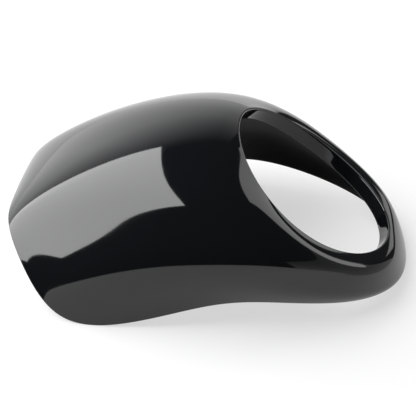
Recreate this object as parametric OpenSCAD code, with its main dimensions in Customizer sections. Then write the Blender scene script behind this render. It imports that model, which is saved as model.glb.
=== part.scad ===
// Headlight cowl: a one-piece moulded cowl that frames a round motorbike headlamp.
// It lies on its rear edge. X runs along its middle towards the chin, Y runs across, Z is up.
// The skin is a loft from the rim of the opening to the rear edge, in all directions round
// the opening's axis: angle 0 is the chin, 90 is a side and 180 is the crown.

/* [Headlight opening] */
// Radius of the opening, for a 5.75 inch headlamp and its trim ring
opening_r = 75; // [60:0.5:100]
// Height of the opening's centre over the floor that the cowl lies on
opening_height = 68.5; // [50:0.5:90]
// Angle between the opening's axis and straight up, leaning towards the chin
opening_tilt = 36.5; // [20:0.5:50]
// How far the rim stands proud at the chin and the crown, and drops back at the sides
rim_saddle = 4; // [0:0.5:8]
// Rounding of the rim's front corner
rim_round = 1.5; // [0.5:0.1:3]
// Depth of the return flange behind the rim
flange_depth = 12; // [6:0.5:20]

/* [Shell] */
// Wall thickness of the skin and of the return flange
wall = 3; // [2:0.1:5]

/* [Rear edge] */
// Poles of the rear edge's spline: distance towards the chin, half width and height
edge_chin = [80.5, 43, -0.5]; // [-300:0.5:300]
// Pole at the corner of the chin
edge_jaw = [28.5, 90.5, 10]; // [-300:0.5:300]
// Pole at the highest part of the side, beside the opening
edge_waist = [-47, 107.5, 24.5]; // [-300:0.5:300]
// Pole where the edge starts down again behind the opening
edge_flank = [-88.5, 115.5, 16]; // [-300:0.5:300]
// Pole before the side rests on the floor
edge_heel = [-145, 121, -2]; // [-300:0.5:300]
// Pole of the rear corner, which rests on the floor
edge_corner = [-190.5, 119.5, 0]; // [-300:0.5:300]
// Pole where the edge climbs from the corner to the screen
edge_wing = [-220.5, 89, 35]; // [-300:0.5:300]
// Pole of the screen's rounded shoulder
edge_shoulder = [-235, 63, 50.5]; // [-300:0.5:300]
// Pole beside the middle of the screen's straight top edge
edge_screen = [-239, 36.5, 50.5]; // [-300:0.5:300]

/* [Sections] */
// Section at the chin: reach from the rim, its angle to the rim's plane, rise from the edge, its angle to the floor
section_chin = [13.5, 5, 2, 48]; // [-90:0.5:130]
// Section 30 degrees round from the chin
section_jaw = [27, 8, 25.5, 51.5]; // [-90:0.5:130]
// Section 60 degrees round from the chin
section_cheek = [40.5, 6.5, 57, 72]; // [-90:0.5:130]
// Section 90 degrees round from the chin
section_side = [56, 5, 74, 93]; // [-90:0.5:130]
// Section 120 degrees round from the chin
section_shoulder = [64, -4.5, 60.5, 115]; // [-90:0.5:130]
// Section 150 degrees round from the chin
section_temple = [78, -23, 32, 130.5]; // [-90:0.5:130]
// Section along the crown, to the middle of the screen
section_crown = [61, -23, 44.5, 123]; // [-90:0.5:130]

/* [Quality] */
// Number of sections round the opening
rings = 120; // [48:12:180]
// Number of steps along each section
steps = 16; // [10:1:24]

/* [Hidden] */
moulding_black = [0.035, 0.037, 0.042];
rounding_steps = 3;
flange_stock = 0.6;
// The edge is cut flat on the floor, and square to the skin where it is raised this high
square_height = 30;
edge_poles = [edge_chin, edge_jaw, edge_waist, edge_flank, edge_heel, edge_corner, edge_wing, edge_shoulder, edge_screen];
sections = [section_chin, section_jaw, section_cheek, section_side, section_shoulder, section_temple, section_crown];
pole_count = len(edge_poles);
rim_down = [cos(opening_tilt), 0, -sin(opening_tilt)];
rim_axis = [sin(opening_tilt), 0, cos(opening_tilt)];
angles = [for (i = [0:rings - 1]) 360 * i / rings];

function total(list, i = 0) = i == len(list) - 1 ? list[i] : list[i] + total(list, i + 1);
function end_weight(i, last) = i == 0 || i == last ? 0.5 : 1;
function unit(v) = v / norm(v);

// A cosine series through equally spaced stations, so that it runs smoothly all the way round
function series(stations) = let (last = len(stations) - 1)
    [for (k = [0:last]) 2 / last * end_weight(k, last)
        * total([for (j = [0:last]) end_weight(j, last) * cos(180 * j * k / last) * stations[j]])];
function series_at(terms, angle) = total([for (k = [0:len(terms) - 1]) cos(k * angle) * terms[k]]);
section_terms = series(sections);

// The rear edge is a closed cubic B-spline with the poles mirrored to the other side
function pole(i) = let (k = (i + 2 * pole_count) % (2 * pole_count))
    k < pole_count ? edge_poles[k]
    : let (p = edge_poles[2 * pole_count - 1 - k]) [p[0], -p[1], p[2]];
function spline_place(angle) = angle / 180 * pole_count - 0.5;
function spline_poles(i) = [pole(i - 1), pole(i), pole(i + 1), pole(i + 2)];
function edge_raw(angle) = let (u = spline_place(angle), i = floor(u), s = u - i)
    [pow(1 - s, 3), 3 * pow(s, 3) - 6 * s * s + 4, -3 * pow(s, 3) + 3 * s * s + 3 * s + 1, pow(s, 3)] / 6
    * spline_poles(i);
edge_drop = min([for (a = angles) edge_raw(a)[2]]);
function edge_point(angle) = edge_raw(angle) - [0, 0, edge_drop];
// The sections come down to the edge facing outward as an oval does that is this much wider than long
outward_bias = 0.6;
function edge_outward(angle) = unit([outward_bias * cos(angle), sin(angle), 0]);

// Directions at the rim, and the rim's own points: a circle seen along the axis
function rim_outward(angle) = cos(angle) * rim_down + [0, sin(angle), 0];
function at_rim(angle, r, depth) = r * rim_outward(angle) + [0, 0, opening_height]
    + (rim_saddle * cos(2 * angle) - depth) * rim_axis;
// Length from the sharp corner to where its rounding begins
function corner_run(lean) = rim_round / tan((90 + lean) / 2);

// The four poles of a section's curve
function section_poles(angle) = let (
        h = series_at(section_terms, angle),
        along = cos(h[1]) * rim_outward(angle) + sin(h[1]) * rim_axis,
        start = at_rim(angle, opening_r, 0) + corner_run(h[1]) * along,
        finish = edge_point(angle))
    [start, start + h[0] * along,
        finish + h[2] * (cos(h[3]) * edge_outward(angle) + [0, 0, sin(h[3])]), finish];
function on_curve(p, v) = pow(1 - v, 3) * p[0] + 3 * v * pow(1 - v, 2) * p[1]
    + 3 * v * v * (1 - v) * p[2] + pow(v, 3) * p[3];
function curve_run(p, v) = pow(1 - v, 2) * (p[1] - p[0]) + 2 * v * (1 - v) * (p[2] - p[1])
    + v * v * (p[3] - p[2]);

// The skin's outward direction, from its slope along and across the sections
turn = 0.5;
function skin_normal(p, before, after, v) =
    unit(cross(on_curve(after, v) - on_curve(before, v), -curve_run(p, v)));

// One closed section of the moulding: rounded rim, outer skin, edge, inner skin and flange
function moulding_section(angle) = let (
        p = section_poles(angle),
        before = section_poles(angle - turn),
        after = section_poles(angle + turn),
        h = series_at(section_terms, angle),
        run = corner_run(h[1]),
        skip = wall / (3 * h[0] * cos(h[1])),
        lift = min(1, p[3][2] / square_height))
    concat(
        [at_rim(angle, opening_r - flange_stock, run + flange_stock)],
        [for (i = [1:rounding_steps - 1]) let (a = 180 - i / rounding_steps * (90 - h[1]))
            at_rim(angle, opening_r + rim_round + rim_round * cos(a), run - rim_round * sin(a))],
        [for (i = [0:steps]) on_curve(p, i / steps)],
        [for (i = [steps:-1:0]) let (v = skip + (1 - skip) * i / steps, n = skin_normal(p, before, after, v))
            i == steps ? p[3] - wall * unit([n[0], n[1], lift * n[2]]) : on_curve(p, v) - wall * n],
        [at_rim(angle, opening_r + wall, flange_depth)],
        [at_rim(angle, opening_r - flange_stock, flange_depth)]);

points = [for (a = angles) each moulding_section(a)];
across = len(points) / rings;
function facet_point(ring, i) = (ring % rings) * across + i % across;

span = [for (p = points) p[0]];
middle = (min(span) + max(span)) / 2;

module cowl() {
    color(moulding_black) translate([-middle, 0, 0]) difference() {
        polyhedron(points, [for (ring = [0:rings - 1], i = [0:across - 1])
            each [[facet_point(ring, i), facet_point(ring + 1, i), facet_point(ring + 1, i + 1)],
                [facet_point(ring, i), facet_point(ring + 1, i + 1), facet_point(ring, i + 1)]]],
            convexity = 8);
        translate([0, 0, opening_height]) rotate([0, opening_tilt, 0])
            cylinder(r = opening_r, h = 2 * (rim_saddle + flange_depth) + 20, center = true, $fn = 180);
    }
}

cowl();
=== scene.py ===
"""Looks for the headlight cowl: one gloss-black moulding lying on its rear edge on a pale floor.

The skin follows the same dimensions and formulas as the CAD source, with far more points, so that
its reflections run smoothly. Lengths are in millimetres until a mesh, light or camera is made.
"""
import math

import bpy
import numpy as np
from mathutils import Matrix, Vector


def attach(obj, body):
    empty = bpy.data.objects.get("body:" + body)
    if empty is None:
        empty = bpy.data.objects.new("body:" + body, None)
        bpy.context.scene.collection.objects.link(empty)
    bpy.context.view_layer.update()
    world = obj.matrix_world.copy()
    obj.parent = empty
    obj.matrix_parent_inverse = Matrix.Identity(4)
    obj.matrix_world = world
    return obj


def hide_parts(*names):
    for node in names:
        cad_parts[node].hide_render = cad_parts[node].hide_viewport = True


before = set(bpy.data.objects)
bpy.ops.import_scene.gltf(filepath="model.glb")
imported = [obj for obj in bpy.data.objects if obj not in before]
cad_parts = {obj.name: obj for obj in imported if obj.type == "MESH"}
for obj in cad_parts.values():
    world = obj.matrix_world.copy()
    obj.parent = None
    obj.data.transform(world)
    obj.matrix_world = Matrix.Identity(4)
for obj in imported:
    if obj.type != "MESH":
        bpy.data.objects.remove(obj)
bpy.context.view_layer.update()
MM = 0.001

# Driving dimensions, as in the CAD source
OPENING_R = 75.0
OPENING_HEIGHT = 68.5
OPENING_TILT = math.radians(36.5)
RIM_SADDLE = 4.0
RIM_ROUND = 1.5
FLANGE_DEPTH = 12.0
WALL = 3.0
# Poles of the rear edge's spline: distance towards the chin, half width and height
EDGE_POLES = {
    "chin": (80.5, 43, -0.5),
    "jaw": (28.5, 90.5, 10),
    "waist": (-47, 107.5, 24.5),
    "flank": (-88.5, 115.5, 16),
    "heel": (-145, 121, -2),
    "corner": (-190.5, 119.5, 0),
    "wing": (-220.5, 89, 35),
    "shoulder": (-235, 63, 50.5),
    "screen": (-239, 36.5, 50.5),
}
# Each section: reach from the rim, its angle to the rim's plane, rise from the edge, its angle
# to the floor
SECTIONS = {
    "chin": (13.5, 5, 2, 48),
    "jaw": (27, 8, 25.5, 51.5),
    "cheek": (40.5, 6.5, 57, 72),
    "side": (56, 5, 74, 93),
    "shoulder": (64, -4.5, 60.5, 115),
    "temple": (78, -23, 32, 130.5),
    "crown": (61, -23, 44.5, 123),
}
# The sections come down to the edge facing outward as an oval does that is this much wider than long
OUTWARD_BIAS = 0.6
# The edge is cut flat on the floor, and square to the skin where it is raised this high
SQUARE_HEIGHT = 30.0

# Roundings that are too fine for the CAD solid
EDGE_ROUND = 0.8
FLANGE_ROUND = 0.7
ROOT_FILLET = 1.6

# How finely the skin is divided
RINGS = 360
BORE_STEPS = 5
SKIN_STEPS = 72
INNER_STEPS = 48
CORNER_STEPS = 5
CROWDING = 0.82
# How far to each side, in radians, the skin's slope across the sections is taken
TURN = 0.002
# How finely the rear edge is searched for its lowest point
EDGE_SAMPLES = 3600

# Finishes of the moulding's faces, in the order of its materials
GLOSS, CUT, SATIN = range(3)

RIM_DOWN = np.array([math.cos(OPENING_TILT), 0.0, -math.sin(OPENING_TILT)])
RIM_AXIS = np.array([math.sin(OPENING_TILT), 0.0, math.cos(OPENING_TILT)])
ACROSS = np.array([0.0, 1.0, 0.0])
UP = np.array([0.0, 0.0, 1.0])


def unit(vectors):
    return vectors / np.linalg.norm(vectors, axis=-1, keepdims=True)


def all_round(count):
    """Equally spaced angles from the chin all the way round."""
    return np.linspace(0, 2 * np.pi, count, endpoint=False)


def series_at(stations, angles):
    """A cosine series through equally spaced stations from the chin (0) to the crown (pi)."""
    stations = np.array(stations, float)
    last = len(stations) - 1
    ends = np.ones(last + 1)
    ends[[0, last]] = 0.5
    order = np.arange(last + 1)
    terms = 2 / last * ends[:, None] * (
        np.cos(np.pi * np.outer(order, order) / last) @ (ends[:, None] * stations))
    return np.cos(np.multiply.outer(angles, order)) @ terms


def edge_curve(angles):
    """The rear edge: a closed cubic B-spline with its poles mirrored to the other side."""
    half = np.array(list(EDGE_POLES.values()), float)
    poles = np.vstack([half, half[::-1] * (1, -1, 1)])
    place = angles / np.pi * len(half) - 0.5
    index = np.floor(place).astype(int)
    s = (place - index)[..., None]
    weights = ((1 - s) ** 3, 3 * s ** 3 - 6 * s ** 2 + 4, -3 * s ** 3 + 3 * s ** 2 + 3 * s + 1, s ** 3)
    return sum(w * poles[(index + k - 1) % len(poles)] for k, w in enumerate(weights)) / 6


EDGE_DROP = edge_curve(all_round(EDGE_SAMPLES))[:, 2].min()


def rim_outward(angles):
    return np.multiply.outer(np.cos(angles), RIM_DOWN) + np.multiply.outer(np.sin(angles), ACROSS)


def at_rim(angles, radius, depth):
    """A point at this radius from the opening's axis and this depth behind the rim."""
    radius, depth = np.broadcast_to(radius, angles.shape), np.broadcast_to(depth, angles.shape)
    axial = RIM_SADDLE * np.cos(2 * angles) - depth
    return radius[:, None] * rim_outward(angles) + axial[:, None] * RIM_AXIS + OPENING_HEIGHT * UP


def section_poles(angles):
    """The four poles of each section's cubic curve, from the rim to the rear edge.

    After them come the skin's lean at the rim, and how far from the sharp corner the skin begins.
    """
    reach, lean, rise, drop = np.moveaxis(series_at(list(SECTIONS.values()), angles), -1, 0)
    lean, drop = np.radians(lean), np.radians(drop)
    along = np.cos(lean)[:, None] * rim_outward(angles) + np.sin(lean)[:, None] * RIM_AXIS
    corner_run = RIM_ROUND / np.tan((np.pi / 2 + lean) / 2)
    start = at_rim(angles, OPENING_R, 0.0) + corner_run[:, None] * along
    finish = edge_curve(angles) - EDGE_DROP * UP
    outward = unit(np.stack([OUTWARD_BIAS * np.cos(angles), np.sin(angles), 0 * angles], axis=-1))
    ahead = finish + rise[:, None] * (np.cos(drop)[:, None] * outward + np.sin(drop)[:, None] * UP)
    return start, start + reach[:, None] * along, ahead, finish, lean, corner_run


def on_curve(poles, v):
    """Each section's point at the share v of its curve."""
    a, b, c, d = poles[:4]
    v = v[:, None]
    return (1 - v) ** 3 * a + 3 * v * (1 - v) ** 2 * b + 3 * v * v * (1 - v) * c + v ** 3 * d


def curve_run(poles, v):
    """Each section's slope there."""
    a, b, c, d = poles[:4]
    v = v[:, None]
    return 3 * ((1 - v) ** 2 * (b - a) + 2 * v * (1 - v) * (c - b) + v * v * (d - c))


def rounded(before, corner, after):
    """Points of a rounded corner, without its two ends."""
    rows = []
    for k in range(1, CORNER_STEPS):
        s = k / CORNER_STEPS
        rows.append((1 - s) ** 2 * before + 2 * s * (1 - s) * corner + s * s * after)
    return rows


def crowded(steps):
    """Even steps from 0 to 1, drawn in towards both ends."""
    u = np.linspace(0, 1, steps + 1)
    return u - CROWDING * np.sin(2 * np.pi * u) / (2 * np.pi)


def moulding_rows(angles):
    """Rows of points round the moulding's closed section, one point for each angle.

    After them come the numbers of the rows where the cut edge starts, where it ends, and where the
    flange's foot begins.
    """
    poles = section_poles(angles)
    behind, ahead = section_poles(angles - TURN), section_poles(angles + TURN)
    start, next_pole, _, finish, lean, corner_run = poles
    at_edge = np.ones(len(angles))

    def outward(v):
        return unit(np.cross(on_curve(ahead, v) - on_curve(behind, v), -curve_run(poles, v)))

    rows = []
    # The bore, from the flange's lower corner up to the rim
    for k in range(BORE_STEPS):
        depth = (FLANGE_DEPTH - FLANGE_ROUND) * (1 - k / BORE_STEPS) + corner_run * k / BORE_STEPS
        rows.append(at_rim(angles, OPENING_R, depth))
    # The rim's rounded front corner
    for k in range(2 * CORNER_STEPS):
        a = np.pi - k / (2 * CORNER_STEPS) * (np.pi / 2 - lean)
        radius = OPENING_R + RIM_ROUND * (1 + np.cos(a))
        rows.append(at_rim(angles, radius, corner_run - RIM_ROUND * np.sin(a)))
    # The outer skin
    skin_end = 1 - EDGE_ROUND / np.linalg.norm(curve_run(poles, at_edge), axis=-1)
    for u in crowded(SKIN_STEPS):
        rows.append(on_curve(poles, u * skin_end))
    # The cut rear edge, with both corners rounded
    square = np.clip(finish[:, 2:] / SQUARE_HEIGHT, 0, 1)
    sideways = unit(outward(at_edge) * np.hstack([np.ones((len(angles), 2)), square]))
    far_corner = finish - WALL * sideways
    cut_start = len(rows) - 1
    rows += rounded(rows[-1], finish, finish - EDGE_ROUND * sideways)
    rows.append(finish - EDGE_ROUND * sideways)
    rows.append(finish - 0.5 * WALL * sideways)
    rows.append(far_corner + EDGE_ROUND * sideways)
    inner_top = on_curve(poles, skin_end) - WALL * outward(skin_end)
    rows += rounded(rows[-1], far_corner, inner_top)
    cut_end = len(rows)
    # The inner skin, back to the flange
    reach = np.linalg.norm(next_pole - start, axis=-1)
    skip = (WALL + ROOT_FILLET) / (3 * reach * np.cos(lean))
    for u in crowded(INNER_STEPS)[::-1]:
        v = skip + (skin_end - skip) * u
        rows.append(on_curve(poles, v) - WALL * outward(v))
    # The fillet at the flange's root
    root_depth = WALL + 0.5 * corner_run
    root = at_rim(angles, OPENING_R + WALL, root_depth)
    wall_top = at_rim(angles, OPENING_R + WALL, root_depth + ROOT_FILLET)
    rows += rounded(rows[-1], root, wall_top)
    rows.append(wall_top)
    # The flange's outer wall and its lower outer corner
    outer_low = at_rim(angles, OPENING_R + WALL, FLANGE_DEPTH - FLANGE_ROUND)
    outer_corner = at_rim(angles, OPENING_R + WALL, FLANGE_DEPTH)
    under_outer = at_rim(angles, OPENING_R + WALL - FLANGE_ROUND, FLANGE_DEPTH)
    rows.append(0.5 * (wall_top + outer_low))
    rows.append(outer_low)
    rows += rounded(outer_low, outer_corner, under_outer)
    # The flange's foot and its lower inner corner
    flange_foot = len(rows)
    under_inner = at_rim(angles, OPENING_R + FLANGE_ROUND, FLANGE_DEPTH)
    inner_corner = at_rim(angles, OPENING_R, FLANGE_DEPTH)
    rows.append(under_outer)
    rows.append(under_inner)
    rows += rounded(under_inner, inner_corner, rows[0])
    return np.array(rows), cut_start, cut_end, flange_foot


def moulding_mesh(name, materials):
    """The moulding's mesh, with its middle at X 0, and the distance that it was moved by for that."""
    rows, cut_start, cut_end, flange_foot = moulding_rows(all_round(RINGS))
    span = rows[:, :, 0]
    middle = (span.min() + span.max()) / 2
    points = (rows - (middle, 0, 0)) * MM
    across = len(rows)
    faces = []
    for i in range(across):
        for j in range(RINGS):
            right, down = (j + 1) % RINGS, (i + 1) % across
            faces.append((i * RINGS + j, down * RINGS + j, down * RINGS + right, i * RINGS + right))
    finishes = np.full(len(faces), GLOSS)
    finishes[cut_start * RINGS:cut_end * RINGS] = CUT
    finishes[cut_end * RINGS:flange_foot * RINGS] = SATIN
    mesh = bpy.data.meshes.new(name)
    mesh.from_pydata(points.reshape(-1, 3).tolist(), [], faces)
    for material in materials:
        mesh.materials.append(material)
    mesh.polygons.foreach_set("use_smooth", [True] * len(faces))
    mesh.polygons.foreach_set("material_index", finishes.tolist())
    mesh.update()
    return mesh, middle


def placed(name, data):
    """A new object in the scene that shows this mesh, light or camera."""
    thing = bpy.data.objects.new(name, data)
    bpy.context.scene.collection.objects.link(thing)
    return thing


def facing(centre, right, up, back):
    """The placing of a lamp or camera that looks away from back."""
    return Matrix.Translation(centre) @ Matrix((right, up, back)).transposed().to_4x4()


def new_material(name):
    material = bpy.data.materials.new(name)
    material.use_nodes = True
    tree = material.node_tree
    return material, tree, tree.nodes["Principled BSDF"]


def math_node(tree, operation, *sources):
    """A node that works out one value from these outputs."""
    node = tree.nodes.new("ShaderNodeMath")
    node.operation = operation
    for slot, source in enumerate(sources):
        tree.links.new(source, node.inputs[slot])
    return node


def noise(tree, coordinates, scale, detail):
    node = tree.nodes.new("ShaderNodeTexNoise")
    node.inputs["Scale"].default_value = scale
    node.inputs["Detail"].default_value = detail
    tree.links.new(coordinates.outputs["Object"], node.inputs["Vector"])
    return node.outputs["Fac"]


def vary_colour(tree, shader, source, dark, light):
    """Lets the noise vary the colour between two near shades."""
    ramp = tree.nodes.new("ShaderNodeValToRGB")
    for element, shade in zip(ramp.color_ramp.elements, (dark, light)):
        element.color = (*shade, 1)
    tree.links.new(source, ramp.inputs["Fac"])
    tree.links.new(ramp.outputs["Color"], shader.inputs["Base Color"])


def vary_roughness(tree, shader, source, low, high):
    spread = tree.nodes.new("ShaderNodeMapRange")
    spread.inputs["To Min"].default_value = low
    spread.inputs["To Max"].default_value = high
    tree.links.new(source, spread.inputs["Value"])
    tree.links.new(spread.outputs["Result"], shader.inputs["Roughness"])


def raise_grain(tree, shader, source, strength, distance):
    bump = tree.nodes.new("ShaderNodeBump")
    bump.inputs["Strength"].default_value = strength
    bump.inputs["Distance"].default_value = distance
    tree.links.new(source, bump.inputs["Height"])
    tree.links.new(bump.outputs["Normal"], shader.inputs["Normal"])


def gloss_black():
    """Deep black moulding straight from a polished tool: faint ripple and barely visible haze."""
    material, tree, shader = new_material("gloss_black_moulding")
    coordinates = tree.nodes.new("ShaderNodeTexCoord")
    tint = noise(tree, coordinates, scale=14.0, detail=3.0)
    haze = noise(tree, coordinates, scale=60.0, detail=5.0)
    ripple = noise(tree, coordinates, scale=22.0, detail=2.0)
    vary_colour(tree, shader, tint, dark=(0.0026, 0.0030, 0.0042), light=(0.0040, 0.0045, 0.0060))
    vary_roughness(tree, shader, haze, low=0.03, high=0.075)
    raise_grain(tree, shader, ripple, strength=0.06, distance=0.0006)
    shader.inputs["IOR"].default_value = 1.54
    return material


def satin_inside():
    """The hollow side, which nobody polished: a soft sheen with a fine grain."""
    material, tree, shader = new_material("satin_inside")
    coordinates = tree.nodes.new("ShaderNodeTexCoord")
    tint = noise(tree, coordinates, scale=18.0, detail=3.0)
    grain = noise(tree, coordinates, scale=90.0, detail=4.0)
    vary_colour(tree, shader, tint, dark=(0.0180, 0.0180, 0.0200), light=(0.0260, 0.0260, 0.0285))
    vary_roughness(tree, shader, grain, low=0.30, high=0.42)
    raise_grain(tree, shader, grain, strength=0.08, distance=0.0003)
    shader.inputs["IOR"].default_value = 1.5
    return material


def cut_edge_painted_highlight():
    """The trimmed rear edge: duller, and coloured a light brown that is a painted edge highlight."""
    material, tree, shader = new_material("cut_edge_painted_highlight")
    coordinates = tree.nodes.new("ShaderNodeTexCoord")
    grain = noise(tree, coordinates, scale=220.0, detail=4.0)
    # Painted highlight: the lighter brown colour stands in for the brownish highlight seen along the
    # edge
    vary_colour(tree, shader, grain, dark=(0.016, 0.012, 0.008), light=(0.060, 0.046, 0.030))
    vary_roughness(tree, shader, grain, low=0.28, high=0.5)
    shader.inputs["IOR"].default_value = 1.5
    return material


mesh, middle = moulding_mesh("cowl_moulding", (gloss_black(), cut_edge_painted_highlight(), satin_inside()))
moulding = placed("cowl_moulding", mesh)
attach(moulding, "root")
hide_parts("cowl")

# The pale floor
FLOOR_HALF = 6.0
FLOOR_COLOUR = (0.36, 0.36, 0.36, 1)
FLOOR_ROUGHNESS = 0.9
# The camera, the gloss and any glass see this much more light on it, as on a lit white table
FLOOR_LIFT = 0.60
SEEING_RAYS = ("Is Camera Ray", "Is Glossy Ray", "Is Transmission Ray")
WHITE = (1.0, 1.0, 1.0, 1)
WORLD_STRENGTH = 0.06


def pale_floor():
    """Matt and pale, with the lift added for the rays that see it."""
    material, tree, shader = new_material("pale_floor")
    shader.inputs["Base Color"].default_value = FLOOR_COLOUR
    shader.inputs["Roughness"].default_value = FLOOR_ROUGHNESS
    shader.inputs["Specular IOR Level"].default_value = 0.0
    ray = tree.nodes.new("ShaderNodeLightPath").outputs
    seen = ray[SEEING_RAYS[0]]
    for kind in SEEING_RAYS[1:]:
        seen = math_node(tree, "MAXIMUM", seen, ray[kind]).outputs["Value"]
    lift = math_node(tree, "MULTIPLY", seen)
    lift.inputs[1].default_value = FLOOR_LIFT
    tree.links.new(lift.outputs["Value"], shader.inputs["Emission Strength"])
    shader.inputs["Emission Color"].default_value = WHITE
    return material


floor_mesh = bpy.data.meshes.new("floor")
corners = [(x * FLOOR_HALF, y * FLOOR_HALF, 0) for x, y in ((-1, -1), (1, -1), (1, 1), (-1, 1))]
floor_mesh.from_pydata(corners, [], [(0, 1, 2, 3)])
floor_mesh.materials.append(pale_floor())
placed("floor", floor_mesh)

world = bpy.data.worlds.new("studio")
bpy.context.scene.world = world
world.use_nodes = True
background = world.node_tree.nodes["Background"]
background.inputs["Color"].default_value = WHITE
background.inputs["Strength"].default_value = WORLD_STRENGTH

# Distance of the lights in metres. Their edges are given as shares of it
LIGHT_AWAY = 3.0


def direction(azimuth, elevation):
    """The way from the cowl to a light: azimuth from +X towards +Y, elevation above the floor."""
    level = math.cos(elevation)
    return Vector((level * math.cos(azimuth), level * math.sin(azimuth), math.sin(elevation)))


def soft_panel(name, back, roll, across, along, radiance):
    """A rectangular soft light in the plane that the direction back meets squarely.

    Its power follows from how bright its face is to look.
    """
    flat = Vector((0, 0, 1)).cross(back).normalized()
    up = math.cos(roll) * back.cross(flat) + math.sin(roll) * flat
    right = up.cross(back)
    width, height = (across[1] - across[0]) * LIGHT_AWAY, (along[1] - along[0]) * LIGHT_AWAY
    centre = LIGHT_AWAY * (back + (across[0] + across[1]) / 2 * right + (along[0] + along[1]) / 2 * up)
    light = bpy.data.lights.new(name, "AREA")
    light.shape = "RECTANGLE"
    light.size, light.size_y = width, height
    light.energy = math.pi * width * height * radiance
    placed(name, light).matrix_world = facing(centre, right, up, back)


def glowing_panel(name, left, right, height, along_x, up_height):
    """An upright lit panel that stands on the floor from left to right.

    Two fades multiply each other, one along X and one up the panel. Each is given as the place and
    strength where it starts, and the place and strength where it ends.
    """
    corners = [(*left, 0), (*right, 0), (*right, height), (*left, height)]
    panel_mesh = bpy.data.meshes.new(name)
    panel_mesh.from_pydata([LIGHT_AWAY * Vector(corner) for corner in corners], [], [(0, 1, 2, 3)])
    material = bpy.data.materials.new("lit_" + name)
    material.use_nodes = True
    tree = material.node_tree
    tree.nodes.clear()
    place = tree.nodes.new("ShaderNodeTexCoord")
    axes = tree.nodes.new("ShaderNodeSeparateXYZ")
    tree.links.new(place.outputs["Object"], axes.inputs["Vector"])
    fades = []
    for axis, ends in (("X", along_x), ("Z", up_height)):
        fade = tree.nodes.new("ShaderNodeMapRange")
        for end, (at, value) in zip(("Min", "Max"), ends):
            fade.inputs["From " + end].default_value = at * LIGHT_AWAY
            fade.inputs["To " + end].default_value = value
        tree.links.new(axes.outputs[axis], fade.inputs["Value"])
        fades.append(fade.outputs["Result"])
    strength = math_node(tree, "MULTIPLY", *fades)
    glow = tree.nodes.new("ShaderNodeEmission")
    output = tree.nodes.new("ShaderNodeOutputMaterial")
    tree.links.new(strength.outputs["Value"], glow.inputs["Strength"])
    tree.links.new(glow.outputs["Emission"], output.inputs["Surface"])
    panel_mesh.materials.append(material)
    placed(name, panel_mesh)


# The main softbox: above and to the left, leaning over the cowl
BOX_BACK = direction(math.radians(173.0), math.radians(49.3))
BOX_ROLL = math.radians(-17.8)
soft_panel("main_softbox", BOX_BACK, BOX_ROLL, across=(-0.47, 0.53), along=(-0.80, 0.40), radiance=5.8)

# Two smaller ones behind and to the right, which light the far side of the opening
SIDE_BACK = direction(math.radians(45), 0)
soft_panel("side_softbox", SIDE_BACK, 0, across=(-0.18, 0.31), along=(0.37, 1.42), radiance=1.75)
soft_panel("low_strip", SIDE_BACK, 0, across=(0.10, 0.30), along=(0.09, 0.235), radiance=1.1)

# The white backdrop, brighter to the left and fading upwards
glowing_panel("backdrop", left=(-2.8, 1.0), right=(0.29, 1.0), height=1.53,
              along_x=((-0.76, 1.65), (0.06, 0.64)), up_height=((0.53, 1.0), (1.47, 0.1)))
# A dimmer board on the right
glowing_panel("board", left=(1.0, -1.0), right=(0.8, 0.8), height=0.53,
              along_x=((0, 1.0), (1.0, 1.0)), up_height=((0.0, 0.58), (0.53, 0.22)))

# Camera: about 1 m away, 32 degrees up and 6.5 degrees round towards the chin
CAMERA_AWAY = 1.0
CAMERA_AZIMUTH = math.radians(6.46)
CAMERA_ELEVATION = math.radians(32.0)
SENSOR_WIDTH = 36.0
FOCAL_PIXELS = 1260.0
FRAME_PIXELS = 416.0
# How far left of the opening's centre and below it the camera aims
AIM_LEFT, AIM_DOWN = 83.63 * MM, 23.20 * MM
opening_centre = Vector((-middle * MM, 0, OPENING_HEIGHT * MM))
cam_back = Vector((math.sin(CAMERA_AZIMUTH) * math.cos(CAMERA_ELEVATION),
                   -math.cos(CAMERA_AZIMUTH) * math.cos(CAMERA_ELEVATION), math.sin(CAMERA_ELEVATION)))
cam_right = Vector((math.cos(CAMERA_AZIMUTH), math.sin(CAMERA_AZIMUTH), 0))
cam_up = cam_back.cross(cam_right)
aim = opening_centre - AIM_LEFT * cam_right - AIM_DOWN * cam_up
camera_data = bpy.data.cameras.new("camera")
camera_data.sensor_width = SENSOR_WIDTH
camera_data.lens = SENSOR_WIDTH * FOCAL_PIXELS / FRAME_PIXELS
camera = placed("camera", camera_data)
camera.matrix_world = facing(aim + CAMERA_AWAY * cam_back, cam_right, cam_up, cam_back)
bpy.context.scene.camera = camera
bpy.context.scene.view_settings.view_transform = "Standard"

bpy.context.view_layer.update()
